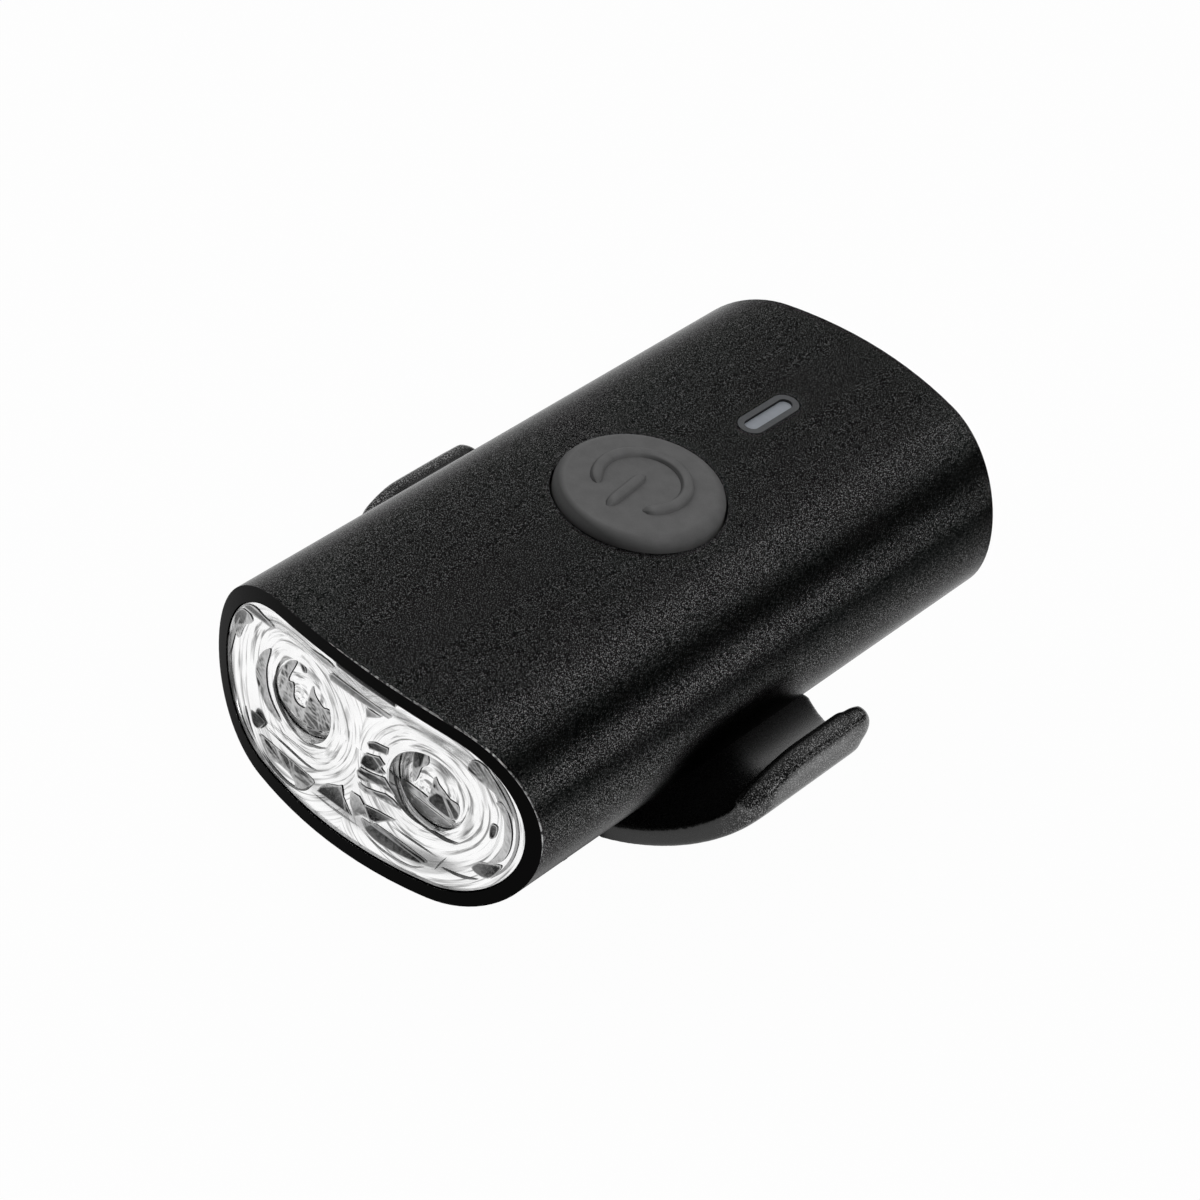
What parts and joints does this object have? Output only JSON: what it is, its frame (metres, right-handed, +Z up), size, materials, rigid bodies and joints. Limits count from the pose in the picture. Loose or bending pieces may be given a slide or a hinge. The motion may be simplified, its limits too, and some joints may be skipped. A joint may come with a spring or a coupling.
{
  "type": "bicycle headlight",
  "caption": "Compact oval bicycle headlight with paired lenses, a top push button, an indicator slot, a covered rear charging port and a strap bracket with a bar saddle.",
  "frame": {"origin": "middle of the bounding box at the level of the saddle pad's lips", "axes": "-Y towards the beam, X along the handlebar, +Z up through the push button"},
  "size_m": [0.0552, 0.0792, 0.0388],
  "materials": {
    "body_black": "bead-blasted black anodised",
    "lens_clear": "clear polished",
    "optic_clear": "clear moulded optic",
    "tray_bright": "bright metallised",
    "led_yellow": "phosphor",
    "led_board_white": "white mask",
    "sink_metal": "milled",
    "inner_plastic": "moulded",
    "battery_wrap": "shrink wrap",
    "board_green": "solder mask",
    "board_chips": "moulded",
    "stem_plastic": "moulded",
    "button_grey": "soft matte",
    "indicator_grey": "satin",
    "indicator_clear": "frosted",
    "port_metal": "stamped",
    "rear_black": "fine texture",
    "seal_black": "soft",
    "screw_steel": "zinc",
    "cover_rubber": "soft matte",
    "bracket_black": "fine texture",
    "pad_rubber": "soft matte"
  },
  "bodies": {
    "light": {"housing": "body_black", "lens_cover": "lens_clear", "lens_gasket": "seal_black", "left_collimator": "optic_clear", "right_collimator": "optic_clear", "optic_tray": "tray_bright", "leds": "led_yellow", "led_board": "led_board_white", "heat_sink": "sink_metal", "chassis": "inner_plastic", "battery": "battery_wrap", "main_board": "board_green", "board_parts": "board_chips", "switch_body": "board_chips", "indicator_frame": "indicator_grey", "indicator_window": "indicator_clear", "indicator_leds": "led_yellow", "usb_socket": "port_metal", "rear_cap": "rear_black", "rear_gasket": "seal_black", "rear_screws": "screw_steel", "bracket": "bracket_black", "bracket_screws": "screw_steel", "saddle_pad": "pad_rubber"},
    "button": {"power_button": "button_grey", "switch_stem": "stem_plastic"},
    "port_cover": {"usb_cover": "cover_rubber"}
  },
  "joints": [
    {"name": "button_press", "type": "slide", "parent": "light", "child": "button", "axis": [0, 0, -1], "range_m": [0, 0.0008], "stiffness_N_per_m": 2000, "springref_m": -0.0004},
    {"name": "port_cover_hinge", "type": "hinge", "parent": "light", "child": "port_cover", "pos_m": [0, 0.0396, 0.02264], "axis": [-1, 0, 0], "range_deg": [0, 110], "stiffness_Nm_per_rad": 0.0005}
  ]
}
